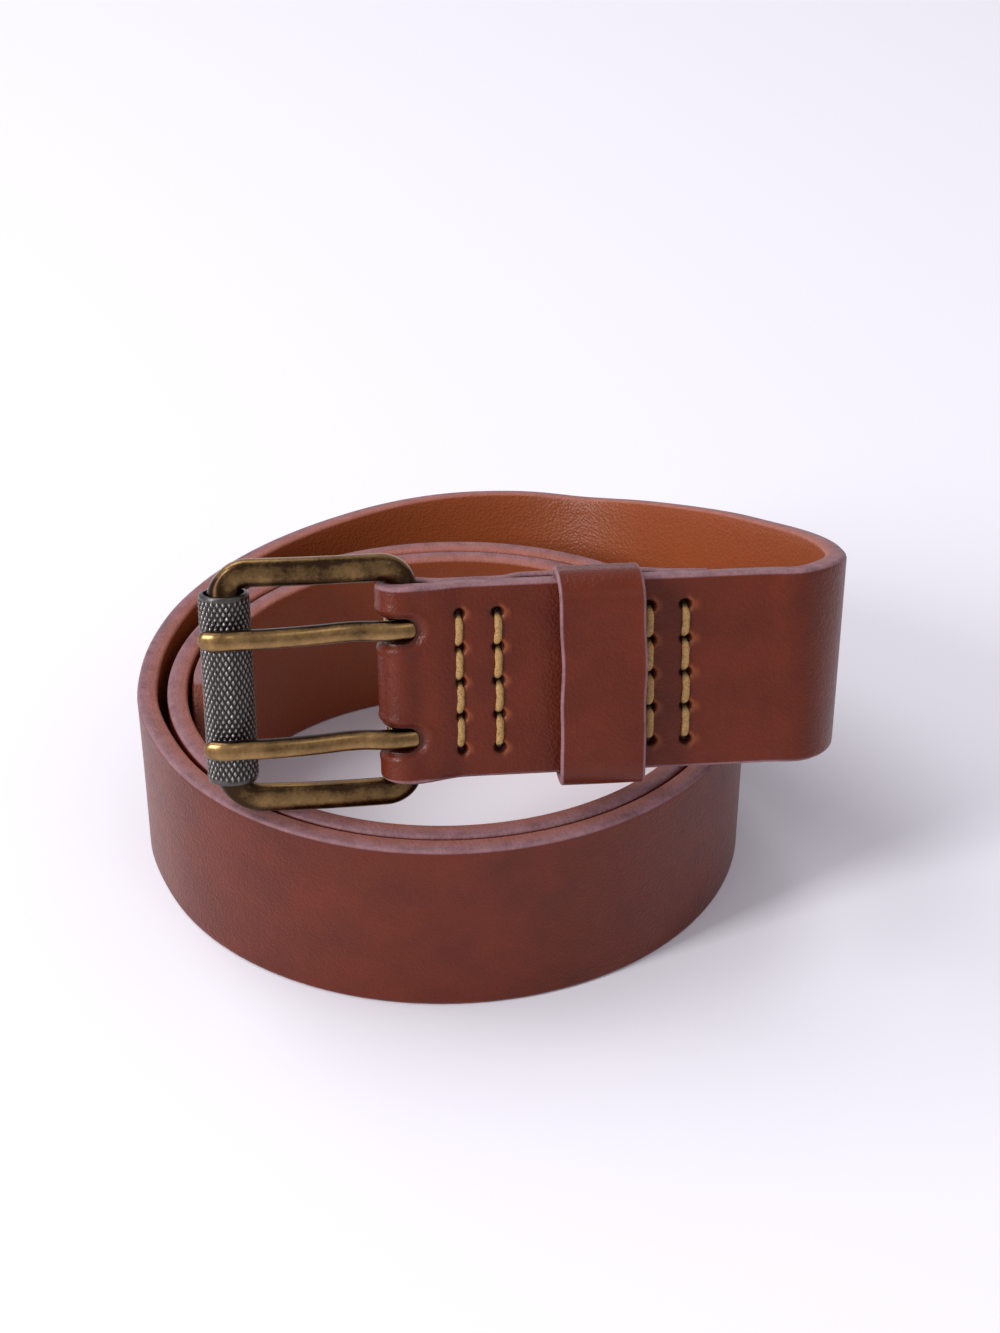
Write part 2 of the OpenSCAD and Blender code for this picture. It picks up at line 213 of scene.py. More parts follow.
def curve_through(p, steps):
    """Catmull-Rom curve through the rows of p, with steps points from each row to the next."""
    ext = np.vstack([2 * p[0] - p[1], p, 2 * p[-1] - p[-2]])
    p0, p1, p2, p3 = ext[:-3], ext[1:-2], ext[2:-1], ext[3:]
    t = (np.arange(steps) / steps)[None, :, None]
    p0, p1, p2, p3 = (q[:, None, :] for q in (p0, p1, p2, p3))
    c = 0.5 * (2 * p1 + (p2 - p0) * t + (2 * p0 - 5 * p1 + 4 * p2 - p3) * t ** 2
               + (3 * p1 - p0 - 3 * p2 + p3) * t ** 3)
    return np.vstack([c.reshape(-1, p.shape[1]), p[-1:]])


def lengths_of(points):
    """Running length along a row of points."""
    return np.concatenate([[0], np.cumsum(np.linalg.norm(np.diff(points, axis=0), axis=1))])


def strap_route(width, thick):
    """Rows of [x, y, z, lean x, lean y, thickness] along the whole strap: back along the
    folded layer, round the bar, out along the front, round the free loop and into the roll."""
    tan_lean = UP[1] / UP[2]

    def local(x, y, t):
        p = in_buckle(x, y, np.zeros_like(x))
        zero = np.zeros(len(x))
        return np.column_stack([p, zero, zero + tan_lean, t])

    inner = FOLD_IN_R + BAR_ROOM
    x = np.linspace(FOLD_BACK, 6, UNDER_STEPS)
    skive = 0.5 + (SKIVED_T - 0.5) * ease((FOLD_BACK - x) / 9)
    under = local(x, under_y(x) - (SKIVED_T - skive) / 2, skive)
    a = np.linspace(62, 272, ARC_STEPS)
    grow = SKIVED_T - 0.2 + (thick - BAR_ROOM - SKIVED_T + 0.2) * ease((a - 80) / 180)
    ring = inner + grow / 2
    a = np.radians(a)
    arc = local(np.cos(a) * ring, np.sin(a) * ring, grow)
    u = np.linspace(0.06, 1, FRONT_STEPS)
    mid = inner + (thick - BAR_ROOM) / 2
    front = local(FOLD_END * u, -mid + (mid - thick / 2) * ease(u * 1.02),
                  thick - BAR_ROOM * (1 - ease(u * 2)))
    x = np.linspace(FOLD_END + 0.5, STRAIGHT_END - 16, FLAT_STEPS)
    flat = local(x, np.full(FLAT_STEPS, -thick / 2), np.full(FLAT_STEPS, thick))
    tail = local(np.array([STRAIGHT_END - 15, STRAIGHT_END - 7.5, STRAIGHT_END]),
                 np.full(3, -thick / 2), np.full(3, thick))
    shift = BAR[:2] - (BAR_X, BAR_Y)
    lean = np.tan(np.radians(LOOP[:, 3]))
    height = width / 2 + (LOOP[:, 2] - 20) * (BAR[2] - width / 2) / LOOP_HEAD
    loop = np.column_stack([LOOP[:, :2] + shift, height, SIDE_LEAN * lean, lean,
                            np.full(len(LOOP), thick)])
    stops = np.append(np.arange(ROLL_FROM, TIP_ANGLE - 0.4 * ROLL_STEP, ROLL_STEP), TIP_ANGLE)
    roll = roll_points(stops, width, thick)
    roll[:, :2] += shift
    rest = curve_through(np.vstack([tail, loop, roll]), 12)
    return np.vstack([under, arc, front, flat, rest])


def frames(points, lean):
    """Tangent, outward normal and upward direction at each point; out = tangent x lean."""
    t = unit(np.gradient(points, axis=0))
    out = unit(np.cross(t, lean))
    return out, np.cross(out, t)


def carry(points, out, up, profile):
    """A profile carried along a path: point + out * first + up * second, as a grid."""
    return points[:, None] + out[:, None] * profile[..., :1] + up[:, None] * profile[..., 1:]


# ---------------------------------------------------------------- meshes

def grid_faces(rows, cols, wrap_rows=False):
    """Quads of a grid whose columns close on themselves."""
    i = np.arange(rows if wrap_rows else rows - 1)[:, None]
    k = np.arange(cols)[None, :]
    i2, k2 = (i + 1) % rows, (k + 1) % cols
    return np.stack([i * cols + k2, i * cols + k, i2 * cols + k, i2 * cols + k2], -1).reshape(-1, 4)


def closed_grid(grid, wrap_rows=False):
    """Vertices and faces of a tube on a grid: quads, and a fan to a pole at each open end."""
    rows, cols = grid.shape[:2]
    verts = grid.reshape(-1, 3)
    faces = grid_faces(rows, cols, wrap_rows).tolist()
    if not wrap_rows:
        k = np.arange(cols)
        k2 = (k + 1) % cols
        n = len(verts)
        verts = np.vstack([verts, grid[0].mean(0), grid[-1].mean(0)])
        faces += np.stack([k, k2, np.full(cols, n)], -1).tolist()
        end = (rows - 1) * cols
        faces += np.stack([end + k2, end + k, np.full(cols, n + 1)], -1).tolist()
    return verts, faces


def turned_out(verts, faces):
    """Faces turned so that the shell's volume, summed over its triangles, is positive."""
    tri = np.array([t for f in faces for t in ((f[0], f[1], f[2]), (f[0], f[2], f[-1]))])
    a, b, c = verts[tri[:, 0]], verts[tri[:, 1]], verts[tri[:, 2]]
    if np.einsum("ij,ij->i", a, np.cross(b, c)).sum() < 0:
        return [f[::-1] for f in faces]
    return faces


def join_shells(shells):
    """Several (vertices, faces) shells as one."""
    verts, faces, base = [], [], 0
    for v, f in shells:
        verts.append(v)
        faces += [[i + base for i in face] for face in turned_out(v, f)]
        base += len(v)
    return np.vstack(verts), faces


def new_piece(name, verts, faces, material, smooth=True):
    """A mesh object from millimetre vertices, with its place in its mesh."""
    mesh = bpy.data.meshes.new(name)
    mesh.from_pydata((np.asarray(verts) * MM).tolist(), [], faces)
    mesh.polygons.foreach_set("use_smooth", np.full(len(mesh.polygons), smooth))
    mesh.materials.append(material)
    mesh.update()
    piece = bpy.data.objects.new(name, mesh)
    bpy.context.scene.collection.objects.link(piece)
    return piece


def set_map(mesh, name, values):
    """A two-number map, given for each vertex, stored on the face corners."""
    layer = mesh.uv_layers.new(name=name)
    corner = np.empty(len(mesh.loops), np.int32)
    mesh.loops.foreach_get("vertex_index", corner)
    layer.data.foreach_set("uv", values[corner].astype(np.float32).ravel())


def belong(piece, body, slot, *nodes):
    """Rides on a body and stands for CAD nodes. The slot is not used."""
    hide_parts(*nodes)
    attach(piece, body)
    return piece


def ellipse_ring(n, power):
    """A superellipse |x|^p + |y|^p = 1 as n points."""
    a = np.linspace(0, 2 * np.pi, n, endpoint=False)
    c, s = np.cos(a), np.sin(a)
    power = np.asarray(power, float)[..., None]
    return np.stack([np.sign(v) * np.abs(v) ** (2 / power) for v in (c, s)], -1)


# ---------------------------------------------------------------- materials

def add(tree, kind, settings=None, stops=()):
    """Adds a node. A setting is a property by name, or an input by name or number, and an input
    takes a value or the output linked to it. Stops are a colour ramp's places and colours."""
    node = tree.nodes.new(kind)
    for key, value in (settings or {}).items():
        if isinstance(value, bpy.types.NodeSocket):
            tree.links.new(value, node.inputs[key])
        elif isinstance(key, int) or key in node.inputs:
            node.inputs[key].default_value = value
        else:
            setattr(node, key, value)
    while stops and len(node.color_ramp.elements) < len(stops):
        node.color_ramp.elements.new(0.5)
    for number, (place, colour) in enumerate(stops):
        node.color_ramp.elements[number].position = place
        node.color_ramp.elements[number].color = colour
    return node


def new_material(name, **shader):
    """A material with one Principled shader whose constants are set on its own sockets."""
    material = bpy.data.materials.new(name)
    material.use_nodes = True
    tree = material.node_tree
    body = tree.nodes["Principled BSDF"]
    for key, value in shader.items():
        body.inputs[key.replace("_", " ")].default_value = value
    return material, tree, body


def scaled(colour, factor):
    """A linear colour made lighter or darker."""
    return tuple(min(1.0, c * factor) for c in colour[:3]) + (1.0,)


def leather_material(name, colours, width):
    """Vegetable-tanned leather, dyed through, waxed and plated smooth: a fine pebbled grain
    0.6 mm across, cloudy dye 11 mm across, and mauve burnished edges on the strap's own map."""
    material, tree, body = new_material(name, Roughness=0.4, Specular_IOR_Level=0.25)
    place = add(tree, "ShaderNodeTexCoord").outputs["Object"]
    cloud = add(tree, "ShaderNodeTexNoise", {
        "Vector": place, "Scale": 1 / 0.011, "Detail": 4.0, "Roughness": 0.6}).outputs["Fac"]
    fine = add(tree, "ShaderNodeTexNoise", {
        "Vector": place, "Scale": 1 / 0.0012, "Detail": 3.0, "Roughness": 0.65}).outputs["Fac"]
    grain = add(tree, "ShaderNodeTexVoronoi", {
        "feature": "SMOOTH_F1", "Vector": place, "Scale": 1 / 0.00062, "Smoothness": 0.6,
        "Randomness": 1.0}).outputs["Distance"]
    base = tuple(colours.leather)
    dye = add(tree, "ShaderNodeValToRGB", {0: cloud}, [
        (0.3, scaled(base, 0.8)), (0.5, base), (0.72, scaled(base, 1.2))]).outputs["Color"]
    dark_share = add(tree, "ShaderNodeMath", {"operation": "MULTIPLY", 0: fine, 1: 0.4}).outputs[0]
    dye = add(tree, "ShaderNodeMix", {
        "data_type": "RGBA", 0: dark_share, 6: dye, 7: scaled(base, 0.55)}).outputs[2]
    maps = add(tree, "ShaderNodeUVMap", {"uv_map": "across"}).outputs["UV"]
    parts = add(tree, "ShaderNodeSeparateXYZ", {0: maps})
    side = add(tree, "ShaderNodeMath", {"operation": "ABSOLUTE", 0: parts.outputs["Y"]}).outputs[0]
    past = add(tree, "ShaderNodeMath", {
        "operation": "SUBTRACT", 0: side, 1: width / 2 - 0.72}).outputs[0]
    band = add(tree, "ShaderNodeMath", {
        "operation": "DIVIDE", "use_clamp": True, 0: past, 1: 0.3}).outputs[0]
    worn = add(tree, "ShaderNodeTexNoise", {
        "Vector": place, "Scale": 1 / 0.0035, "Detail": 5.0, "Roughness": 0.7}).outputs["Fac"]
    tone = tuple(colours.edge)
    edge = add(tree, "ShaderNodeValToRGB", {0: worn}, [
        (0.3, scaled(tone, 0.62)), (0.55, tone), (0.8, scaled(tone, 1.3))]).outputs["Color"]
    colour = add(tree, "ShaderNodeMix", {"data_type": "RGBA", 0: band, 6: dye, 7: edge}).outputs[2]
    dark_map = add(tree, "ShaderNodeUVMap", {"uv_map": "marks"}).outputs["UV"]
    marks = add(tree, "ShaderNodeSeparateXYZ", {0: dark_map})
    # second channel: the flesh colour inside the roll and the painted highlight on the awl holes'
    # lips; first channel: painted shade in the awl holes, darker slot rims and darker cut walls
    for share, shade in (("Y", "A5562C"), ("X", "1C0C08")):
        colour = add(tree, "ShaderNodeMix", {
            "data_type": "RGBA", 0: marks.outputs[share], 6: colour, 7: linear(shade)}).outputs[2]
    tree.links.new(colour, body.inputs["Base Color"])
    rough = add(tree, "ShaderNodeMath", {"operation": "MULTIPLY", 0: fine, 1: 0.2}).outputs[0]
    rough = add(tree, "ShaderNodeMath", {"operation": "ADD", 0: rough, 1: 0.27}).outputs[0]
    matt = add(tree, "ShaderNodeMath", {"operation": "MULTIPLY", 0: band, 1: 0.22}).outputs[0]
    rough = add(tree, "ShaderNodeMath", {"operation": "ADD", 0: rough, 1: matt}).outputs[0]
    tree.links.new(rough, body.inputs["Roughness"])
    low = add(tree, "ShaderNodeTexNoise", {
        "Vector": place, "Scale": 1 / 0.0045, "Detail": 2.0}).outputs["Fac"]
    bump = add(tree, "ShaderNodeBump", {
        "Strength": 0.55, "Distance": 0.00018, "Height": grain}).outputs["Normal"]
    bump = add(tree, "ShaderNodeBump", {
        "Strength": 0.35, "Distance": 0.0001, "Height": fine, "Normal": bump}).outputs["Normal"]
    bump = add(tree, "ShaderNodeBump", {
        "Strength": 0.25, "Distance": 0.0002, "Height": low, "Normal": bump}).outputs["Normal"]
    tree.links.new(bump, body.inputs["Normal"])
    return material


def brass_material(name, colours):
    """Antique brass, cast, darkened and rubbed back: a brown patina that the tumbling has worn
    to bright metal on high edges, with a soft satin gloss."""
    material, tree, body = new_material(name, Metallic=1.0, Roughness=0.3)
    place = add(tree, "ShaderNodeTexCoord").outputs["Object"]
    cloud = add(tree, "ShaderNodeTexNoise", {
        "Vector": place, "Scale": 1 / 0.006, "Detail": 6.0, "Roughness": 0.62}).outputs["Fac"]
    speck = add(tree, "ShaderNodeTexNoise", {
        "Vector": place, "Scale": 1 / 0.0007, "Detail": 3.0, "Roughness": 0.7}).outputs["Fac"]
    wear = add(tree, "ShaderNodeUVMap", {"uv_map": "wear"}).outputs["UV"]
    high = add(tree, "ShaderNodeSeparateXYZ", {0: wear}).outputs["X"]
    level = None
    for source, share in ((high, 0.62), (cloud, 0.5), (speck, 0.18)):
        part = add(tree, "ShaderNodeMath", {
            "operation": "MULTIPLY", 0: source, 1: share}).outputs[0]
        level = part if level is None else add(
            tree, "ShaderNodeMath", {"operation": "ADD", 0: level, 1: part}).outputs[0]
    patina = tuple(colours.patina)
    colour = add(tree, "ShaderNodeValToRGB", {0: level}, [
        (0.28, scaled(patina, 0.55)), (0.56, patina),
        (0.92, tuple(colours.brass))]).outputs["Color"]
    tree.links.new(colour, body.inputs["Base Color"])
    rough = add(tree, "ShaderNodeMath", {"operation": "MULTIPLY", 0: speck, 1: 0.22}).outputs[0]
    rough = add(tree, "ShaderNodeMath", {"operation": "ADD", 0: rough, 1: 0.2}).outputs[0]
    tree.links.new(rough, body.inputs["Roughness"])
    bump = add(tree, "ShaderNodeBump", {"Strength": 0.25, "Distance": 0.00006, "Height": speck})
    tree.links.new(bump.outputs["Normal"], body.inputs["Normal"])
    return material


def steel_material(name, colours):
    """Blackened steel, diamond knurled: bright where the points are rubbed, dark in the grooves."""
    material, tree, body = new_material(name, Metallic=1.0, Roughness=0.34)
    wear = add(tree, "ShaderNodeUVMap", {"uv_map": "wear"}).outputs["UV"]
    high = add(tree, "ShaderNodeSeparateXYZ", {0: wear}).outputs["X"]
    steel = tuple(colours.steel)
    colour = add(tree, "ShaderNodeValToRGB", {0: high}, [
        (0.1, scaled(steel, 0.28)), (0.55, steel), (1.0, scaled(steel, 3.6))]).outputs["Color"]
    tree.links.new(colour, body.inputs["Base Color"])
    return material


def thread_material(name, colours):
    """Waxed linen thread, two plies laid together: matt, tan, with darker fibres, and painted shade
    where it dives into the holes.
    """
    material, tree, body = new_material(name, Roughness=0.62, Specular_IOR_Level=0.3)
    place = add(tree, "ShaderNodeTexCoord").outputs["Object"]
    fibre = add(tree, "ShaderNodeTexNoise", {
        "Vector": place, "Scale": 1 / 0.00035, "Detail": 4.0, "Roughness": 0.7}).outputs["Fac"]
    base = tuple(colours.thread)
    colour = add(tree, "ShaderNodeValToRGB", {0: fibre}, [
        (0.32, scaled(base, 0.42)), (0.52, base), (0.75, scaled(base, 1.5))]).outputs["Color"]
    # painted shade: the thread darkens the deeper it sinks into a hole
    deep = add(tree, "ShaderNodeUVMap", {"uv_map": "wear"}).outputs["UV"]
    depth = add(tree, "ShaderNodeSeparateXYZ", {0: deep}).outputs["X"]
    colour = add(tree, "ShaderNodeMix", {
        "data_type": "RGBA", 0: depth, 6: colour, 7: linear("2A170D")}).outputs[2]
    tree.links.new(colour, body.inputs["Base Color"])
    bump = add(tree, "ShaderNodeBump", {"Strength": 0.6, "Distance": 0.0001, "Height": fibre})
    tree.links.new(bump.outputs["Normal"], body.inputs["Normal"])
    return material


def made(name, build, *parts):
    """A material that is built once and then used again by name."""
    return bpy.data.materials.get(name) or build(name, *parts)


# ---------------------------------------------------------------- pieces

def hole_heights():
    """Heights of the awl holes of a row, counted up the strap from its middle."""
    return (np.arange(HOLES) - (HOLES - 1) / 2) * HOLE_PITCH


def strap_marks_and_painted_light(x, z):
    """Sink, dark share and highlight share of the strap's front face at (x, z): wells at the awl
    holes, 1 / (1 + (d / 0.95)^6), darkened as painted shade, a crescent of painted highlight
    beside each, a pressed lip round each slot, exp(-d^2), darker at its rim, and a valley past
    the fold where the leather was pressed behind the bar."""
    sink = 0.6 * np.exp(-((x - 1.6) / 2.1) ** 2) - 0.3 * np.exp(-((x - 6.6) / 2.6) ** 2)
    sink = sink * (1 - np.exp(-((np.abs(z) - 20) / 2.5) ** 2) * 0.6)
    dark = np.zeros_like(x)
    lip_highlight = np.zeros_like(x)
    for row in ROW_NEAR + ROW_FAR:
        for height in hole_heights():
            d = np.hypot((x - row) * 0.94, z - height)
            sink += 1.5 / (1 + (d / 0.95) ** 6)
            # painted shade inside the awl hole
            dark += 0.95 / (1 + (d / 1.15) ** 6)
            lip = np.exp(-((np.hypot(x - row - 0.3, z - height) - 1.45) / 0.4) ** 2)
            sink -= 0.2 * lip
            # painted highlight on the lip crescent's far side, where the light falls
            lip_highlight += 0.45 * lip * np.clip((x - row - 0.2) / 0.8, 0, 1)
        sink += 0.16 * np.exp(-((x - row) / 1.3) ** 2) * (np.abs(z) < 14.6)
    for centre in (PRONG_Z, -PRONG_Z):
        d = np.hypot(np.maximum(x - SLOT_END + SLOT_HALF, 0), z - centre) - SLOT_HALF
        d = np.maximum(d, 0)
        sink += 0.75 * np.exp(-(d / 0.75) ** 2)
        sink -= 0.18 * np.exp(-((d - 1.6) / 0.7) ** 2)
        dark += 0.6 * np.exp(-(d / 0.5) ** 2)
    return sink, np.clip(dark, 0, 1), np.clip(lip_highlight, 0, 1)


def strap_cutter(centres, outs, ups):
    """Shells that cut the prong slots and the size holes: capsule prisms and round rods."""
    a = np.linspace(-np.pi / 2, np.pi / 2, 17)
    x = np.concatenate([[-14.0], SLOT_END - SLOT_HALF + SLOT_HALF * np.cos(a), [-14.0]])
    z = np.concatenate([[-SLOT_HALF], SLOT_HALF * np.sin(a), [SLOT_HALF]])
    shells = []
    for centre in (PRONG_Z, -PRONG_Z):
        grid = np.stack([in_buckle(x, np.full_like(x, y), z + centre) for y in (-9.0, 9.0)])
        shells.append(closed_grid(grid))
    ring = ellipse_ring(24, 2.0) * SIZE_HOLE_R
    for point, out, up in zip(centres, outs, ups):
        across = np.cross(out, up)
        for height in (PRONG_Z, -PRONG_Z):
            middle = point + up * height
            disc = ring[:, :1] * across + ring[:, 1:] * up
            grid = np.stack([middle + disc + out * d for d in (-2.35, 2.35)])
            shells.append(closed_grid(grid))
    return join_shells(shells)


def build_strap(sizes, colours):
    """The strap: a rounded section carried along its route, sunk at the stitches and slots."""
    width, thick = sizes.strap_width / MM, sizes.strap_thickness / MM
    rounding = sizes.edge_round / MM
    route = strap_route(width, thick)
    far = lengths_of(route[:, :3])
    total = far[-1]
    # lengths at the middle of the fold and at x = 0 on the front, where the rings lie closer
    bar_s = far[UNDER_STEPS + ARC_STEPS // 2]
    zero_x = far[UNDER_STEPS + ARC_STEPS + FRONT_STEPS - 1] - FOLD_END
    cuts = [np.arange(0, bar_s - 9, 2.2), np.arange(bar_s - 9, zero_x + 6, 0.42)]
    last = zero_x + 6
    for row in ROW_NEAR + ROW_FAR:
        cuts += [np.arange(last, zero_x + row - 2, 0.9),
                 np.arange(zero_x + row - 2, zero_x + row + 2, 0.3)]
        last = zero_x + row + 2
    cuts += [np.arange(last, zero_x + STRAIGHT_END, 1.4),
             np.arange(zero_x + STRAIGHT_END, total - 24, 2.7),
             total - 24 * (1 - np.linspace(0, 1, 34) ** 0.62)]
    s = np.unique(np.round(np.concatenate(cuts), 3))
    s = s[np.concatenate([[True], np.diff(s) > 0.12])]
    row = np.stack([np.interp(s, far, route[:, k]) for k in range(6)], -1)
    lean = np.column_stack([row[:, 3], row[:, 4], np.ones(len(s))])
    out, up = frames(row[:, :3], lean)

    tip = np.clip((s - (total - TIP_LEN)) / TIP_LEN, 0, 1)
    half = np.maximum(1.2, width / 2 * np.sqrt(np.clip(1 - tip ** TIP_POWER, 0, 1)))
    flare = s - zero_x
    half = half + np.where(flare < 30, 0.32 * np.exp(-((flare - 0.5) / 4.5) ** 2), 0)
    fine = np.arange(5.2, 15.9, 0.3)
    core = np.concatenate([np.linspace(0, 1.6, 6), np.linspace(2.3, 4.6, 4), fine,
                           np.linspace(16.6, width / 2 - rounding, 4)])
    face = np.concatenate([core[::-1], -core[1:]]) / (width / 2 - rounding)
    a = np.radians(np.linspace(0, 90, 6)[1:])
    back = np.linspace(-1, 1, BACK_COLUMNS)
    t = row[:, 5] / 2
    r = np.minimum(rounding, t * 0.8)[:, None]
    flat = half[:, None] - r
    face_o = np.repeat(t[:, None], len(face), 1)
    face_u = face[None, :] * flat
    down_o = t[:, None] - r + r * np.cos(a)
    down_u = -flat - r * np.sin(a)
    back_o = -np.repeat(t[:, None], BACK_COLUMNS, 1)
    back_u = back[None, :] * flat
    low_o = -t[:, None] + r - r * np.sin(a)
    low_u = -flat - r * np.cos(a)
    profile_o = np.hstack([
        face_o, down_o, low_o, back_o[:, 1:-1], low_o[:, ::-1], down_o[:, ::-1]])
    profile_u = np.hstack([
        face_u, down_u, low_u, back_u[:, 1:-1], -low_u[:, ::-1], -down_u[:, ::-1]])
    x = s - zero_x
    on_front = np.zeros_like(profile_o)
    on_front[:, :len(face)] = 1
    near = (x > -14) & (x < STRAIGHT_END)
    where = np.repeat(x[:, None], profile_u.shape[1], 1)
    sink, dark, lip_highlight = strap_marks_and_painted_light(where, profile_u)
    sink = sink * on_front * near[:, None]
    dark = dark * on_front * near[:, None]
    lip_highlight = lip_highlight * on_front * near[:, None]
    # the folded end bulges a little and the leather is never perfectly flat
    wave = 0.06 * np.sin(where / 7.3) * np.cos(profile_u / 9.1) * on_front
    grid = carry(row[:, :3], out, up, np.stack([profile_o - sink + wave, profile_u], -1))
    verts, faces = closed_grid(grid)
    faces = turned_out(verts, faces)
    material = made("vegetable-tanned leather, waxed", leather_material, colours, width)
    piece = new_piece("leather_strap", verts, faces, material)
    pad = np.zeros((2, 2))
    inner = (profile_o < 0) * np.clip((x[:, None] - STRAIGHT_END) / 20, 0, 1)
    set_map(piece.data, "across", np.vstack([np.stack([where, profile_u], -1).reshape(-1, 2), pad]))
    # the map holds painted shade in the awl holes and darker slot rims, then the flesh colour
    # inside the roll plus the painted highlights on the hole lips
    set_map(piece.data, "marks",
            np.vstack([np.stack([dark, inner * 0.5 + lip_highlight], -1).reshape(-1, 2), pad]))

    place = total - SIZE_START - SIZE_PITCH * np.arange(SIZE_PAIRS)
    index = np.searchsorted(s, place)
    cut_v, cut_f = strap_cutter(row[index, :3], out[index], up[index])
    cutter = new_piece("strap_cutter", cut_v, cut_f, material, smooth=False)
    set_map(cutter.data, "across", np.zeros((len(cut_v), 2)))
    set_map(cutter.data, "marks", np.tile([0.55, 0.0], (len(cut_v), 1)))
    cut = piece.modifiers.new("slots and holes", "BOOLEAN")
    cut.operation, cut.solver, cut.object = "DIFFERENCE", "EXACT", cutter
    mesh = bpy.data.meshes.new_from_object(
        piece.evaluated_get(bpy.context.evaluated_depsgraph_get()))
    piece.modifiers.clear()
    piece.data = mesh
    mesh.name = "leather_strap"
    bpy.data.objects.remove(cutter)
    mesh.set_sharp_from_angle(angle=math.radians(58))
    return belong(piece, "belt", "strap_leather", "strap")


def build_frame(sizes, colours):
    """The frame: a superellipse section carried round a rounded rectangle, bowed to the front."""
    top = WINDOW_HALF + ARM_W / 2
    corner = 5.0
    q = np.linspace(0, np.pi / 2, 24)
    arm = np.linspace(-corner, -BAR_SPAN + corner, 60)
    bar = np.linspace(-top + corner, top - corner, 50)
    x = np.concatenate([-corner + corner * np.cos(q), arm[1:-1],
                        -BAR_SPAN + corner - corner * np.sin(q)])
    z = np.concatenate([top - corner + corner * np.sin(q), np.full(58, top),
                        top - corner + corner * np.cos(q)])
    x = np.concatenate([x, np.full(48, -BAR_SPAN), x[::-1], np.zeros(48)])
    z = np.concatenate([z, bar[::-1][1:-1], -z[::-1], bar[1:-1]])
    y = -ARM_BOW * np.clip(1 - ((x + BAR_SPAN / 2) / (BAR_SPAN / 2)) ** 2, 0, 1)
    path = np.column_stack([x, y, z])
    step = np.roll(path, -1, 0) - np.roll(path, 1, 0)
    t = unit(step)
    y_dir = np.tile([0.0, 1.0, 0.0], (len(path), 1))
    side = unit(np.cross(y_dir, t))
    y_dir = np.cross(t, side)
    on_arm = ease((np.abs(z) - (top - corner)) / (corner * 0.8))
    at_roller = (x < -BAR_SPAN / 2).astype(float)
    bar_half = BAR_R + (ROLLER_BAR_R - 0.6 - BAR_R) * at_roller
    wide = bar_half + (ARM_W / 2 - bar_half) * on_arm
    deep = bar_half + (ARM_T / 2 - bar_half) * on_arm
    power = 2.0 + 0.75 * on_arm
    ring = ellipse_ring(32, power)
    profile = np.stack([ring[..., 0] * wide[:, None], ring[..., 1] * deep[:, None]], -1)
    grid = carry(path, side, y_dir, profile)
    local = grid.reshape(-1, 3)
    verts, faces = closed_grid(in_buckle(local[:, 0], local[:, 1], local[:, 2]).reshape(grid.shape),
                               wrap_rows=True)
    faces = turned_out(verts, faces)
    material = made("antique brass, tumbled", brass_material, colours)
    piece = new_piece("brass_frame", verts, faces, material)
    edge = np.clip(np.abs(profile[..., 0]) / wide[:, None], 0, 1) ** 3 * 0.8
    crown = np.clip(-profile[..., 1] / deep[:, None], 0, 1) ** 4 * 0.55
    high = np.maximum(edge, crown) * on_arm[:, None]
    set_map(piece.data, "wear", np.stack([high, high], -1).reshape(-1, 2))
    return belong(piece, "frame", "antique_brass", "buckle_frame")


def build_roller(sizes, colours):
    """The roller: a tube whose radius is r - depth * (1 - min of two triangle waves) between
    two plain lips; the waves run up it at 32 degrees to both hands."""
    pitch, depth = sizes.knurl_pitch / MM, sizes.knurl_depth / MM
    starts = round(2 * np.pi * ROLLER_R * np.cos(KNURL_ANGLE) / pitch)
    rise = 2 * np.pi * np.sin(KNURL_ANGLE) / pitch
    a = np.linspace(0, 2 * np.pi, starts * 8, endpoint=False)
    half = ROLLER_LEN / 2
    lip = 1.1
    z = np.linspace(-half + lip, half - lip, 196)
    stations = np.concatenate([[-half, -half + 0.12, -half + 0.3, -half + lip - 0.25], z,
                               [half - lip + 0.25, half - 0.3, half - 0.12, half]])
    base = np.full(len(stations), ROLLER_R)
    base[:4] = (4.62, 4.88, 4.97, 4.97)
    base[-4:] = (4.97, 4.97, 4.88, 4.62)
    knurled = np.zeros(len(stations))
    knurled[4:-4] = 1

    def wave(phase):
        return 1 - np.abs((phase / (2 * np.pi)) % 1 - 0.5) * 2

    p = starts * a[None, :]
    q = rise * stations[:, None]
    high = np.minimum(wave(p + q), wave(p - q)) * knurled[:, None]
    high = np.minimum(high * 1.25, 1)
    radius = base[:, None] - depth * (1 - high) * knurled[:, None]
    bore = ROLLER_BAR_R + 0.06
    radius = np.vstack([radius, np.full((2, len(a)), bore)])
    stations = np.append(stations, [half, -half])
    high = np.vstack([high, np.zeros((2, len(a)))])
    high[:4] = 0.55
    high[-6:-2] = 0.55
    x = -BAR_SPAN + radius * np.cos(a)
    y = radius * np.sin(a)
    grid = in_buckle(x, y, np.repeat(stations[:, None], len(a), 1))
    verts, faces = closed_grid(grid, wrap_rows=True)
    faces = turned_out(verts, faces)
    material = made("blackened steel, knurled", steel_material, colours)
    piece = new_piece("knurled_roller", verts, faces, material)
    piece.data.set_sharp_from_angle(angle=math.radians(62))
    set_map(piece.data, "wear", np.stack([high, high], -1).reshape(-1, 2))
    return belong(piece, "roller_tube", "knurled_steel", "roller")


